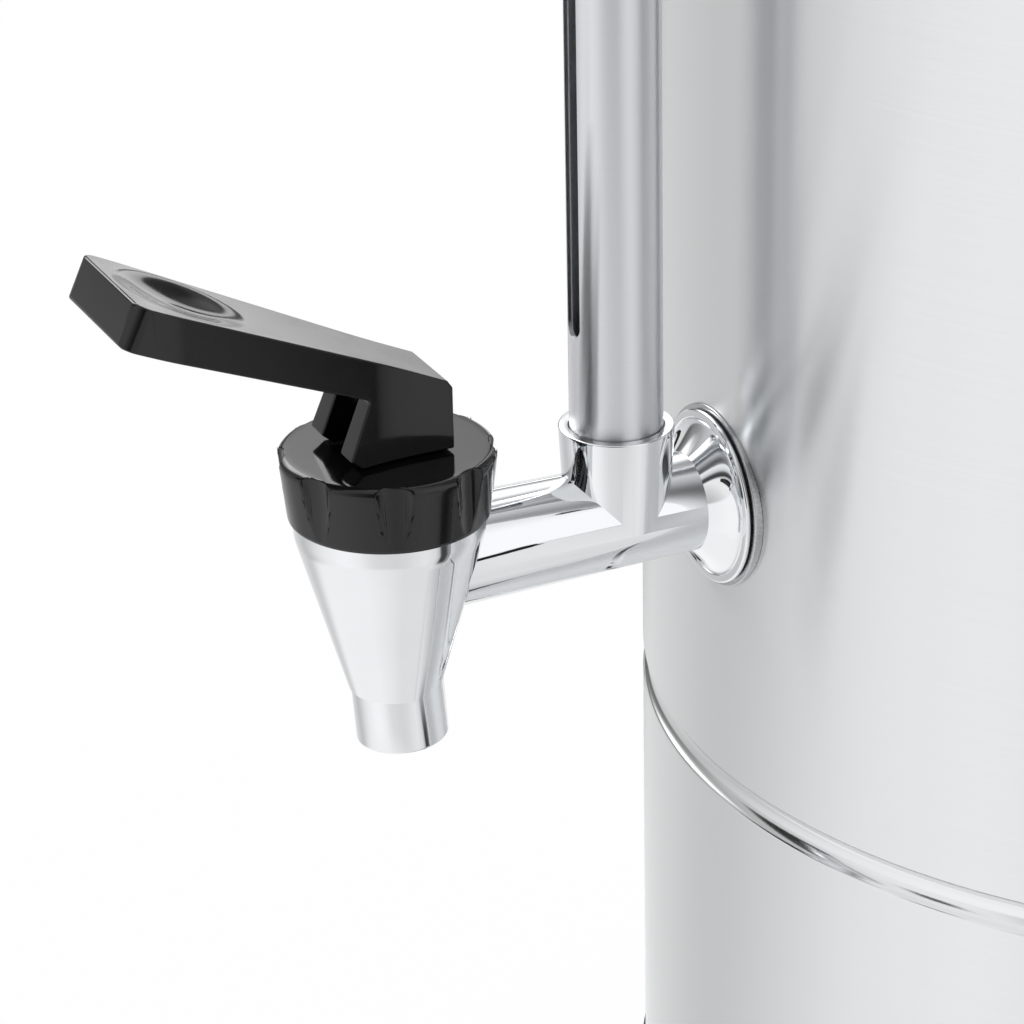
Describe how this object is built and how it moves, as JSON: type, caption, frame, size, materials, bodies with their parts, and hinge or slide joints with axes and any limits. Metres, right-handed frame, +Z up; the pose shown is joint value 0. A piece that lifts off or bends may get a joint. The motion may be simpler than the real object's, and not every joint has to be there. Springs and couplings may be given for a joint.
{
  "type": "hot water urn",
  "caption": "Cylindrical steel hot water urn with a self-closing lever tap, a slotted sight gauge on the tap's arm, side handles, a lift-off lid and an electric base.",
  "frame": {"origin": "on the table, under the tank's axis, in the plane of the rubber foot ring's underside", "axes": "+Z up along the tank's axis, -Y the way the tap points, +X to the right of someone behind the urn facing the tap's way"},
  "size_m": [0.3336, 0.3796, 0.5251],
  "materials": {
    "tank_steel": "brushed round the tank",
    "base_plastic": "fine moulded texture",
    "zinc_steel": "zinc plated sheet",
    "screw_steel": "turned",
    "foot_rubber": "matt moulded",
    "heater_aluminium": "pressed",
    "element_steel": "annealed sheath",
    "control_plastic": "satin moulded",
    "cutout_ceramic": "unglazed",
    "rocker_plastic": "polished mould",
    "lens_plastic": "tinted, moulded smooth",
    "brass": "machined",
    "handle_plastic": "satin moulded phenolic",
    "tap_chrome": "polished and chrome plated",
    "seal_rubber": "moulded",
    "washer_steel": "pressed and polished",
    "silicone": "moulded silicone",
    "tap_plastic": "polished mould",
    "spring_steel": "drawn wire",
    "sheath_steel": "brushed along the tube",
    "gauge_glass": "drawn tube"
  },
  "bodies": {
    "urn": {"body_shell": "tank_steel", "tank_bottom": "tank_steel", "base_ring": "base_plastic", "base_plate": "zinc_steel", "plate_screws": "screw_steel", "foot_ring": "foot_rubber", "heater_plate": "heater_aluminium", "heating_element": "element_steel", "thermostat": "control_plastic", "thermal_cutout": "cutout_ceramic", "switch_housing": "control_plastic", "lamp_holder": "control_plastic", "lamp_lens": "lens_plastic", "power_inlet": "control_plastic", "inlet_pins": "brass", "inlet_screws": "screw_steel", "handle_left": "handle_plastic", "handle_right": "handle_plastic", "handle_screws": "screw_steel", "tap_arm": "tap_chrome", "flange_gasket": "seal_rubber", "flange_washer": "washer_steel", "tank_gasket": "silicone", "tank_nut": "brass", "tap_body": "tap_chrome", "tap_cap": "tap_plastic", "tap_spring": "spring_steel", "gauge_sheath": "sheath_steel", "sight_glass": "gauge_glass", "lower_seal": "silicone", "upper_seal": "silicone", "gauge_cap": "handle_plastic", "gauge_bracket": "tap_chrome", "bracket_screw": "screw_steel"},
    "lid_assembly": {"lid": "tank_steel", "locating_band": "tank_steel", "lid_knob": "handle_plastic", "lid_screw": "screw_steel"},
    "stem": {"valve_stem": "screw_steel", "valve_cup": "silicone"},
    "lever": {"tap_lever": "tap_plastic", "lever_pin": "screw_steel"},
    "rocker": {"switch_rocker": "rocker_plastic"}
  },
  "joints": [
    {"name": "lid_lift", "type": "slide", "parent": "urn", "child": "lid_assembly", "axis": [0, 0, 1], "range_m": [0, 0.12]},
    {"name": "stem_lift", "type": "slide", "parent": "urn", "child": "stem", "axis": [0, 0, 1], "range_m": [0, 0.0037], "deforming": ["tap_spring"]},
    {"name": "lever_press", "type": "hinge", "parent": "stem", "child": "lever", "pos_m": [0, -0.1929, 0.225], "axis": [1, 0, 0], "range_deg": [0, 28], "stiffness_Nm_per_rad": 0.5, "springref_deg": -17.19},
    {"name": "rocker_tilt", "type": "hinge", "parent": "urn", "child": "rocker", "pos_m": [0, -0.1255, 0.01775], "axis": [0, 0, 1], "range_deg": [0, 16]}
  ],
  "couplings": [
    {"joint": "stem_lift", "follows": "lever_press", "m_per_rad": 0.0074}
  ]
}
